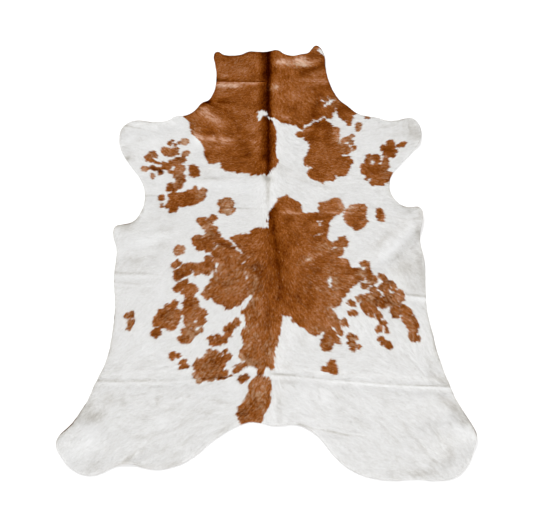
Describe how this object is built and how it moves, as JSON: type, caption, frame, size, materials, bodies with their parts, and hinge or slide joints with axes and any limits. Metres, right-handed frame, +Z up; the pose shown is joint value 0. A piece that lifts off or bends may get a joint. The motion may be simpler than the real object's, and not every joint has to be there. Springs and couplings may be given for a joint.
{
  "type": "cowhide rug",
  "caption": "Whole flat cowhide floor rug with neck, front legs, belly and hind legs in outline, short white and red-brown hair.",
  "frame": {"origin": "on the floor, under the middle of the hide's bounding box", "axes": "+Z up from the floor, +Y from the hind legs to the neck, +X to the right as seen from the hind legs"},
  "size_m": [1.9034, 2.3822, 0.0183],
  "materials": {
    "hide": "tanned with the hair on: short glossy white coat with red-brown patches above, pale suede below"
  },
  "bodies": {
    "root": {"hide": "hide"}
  },
  "joints": []
}
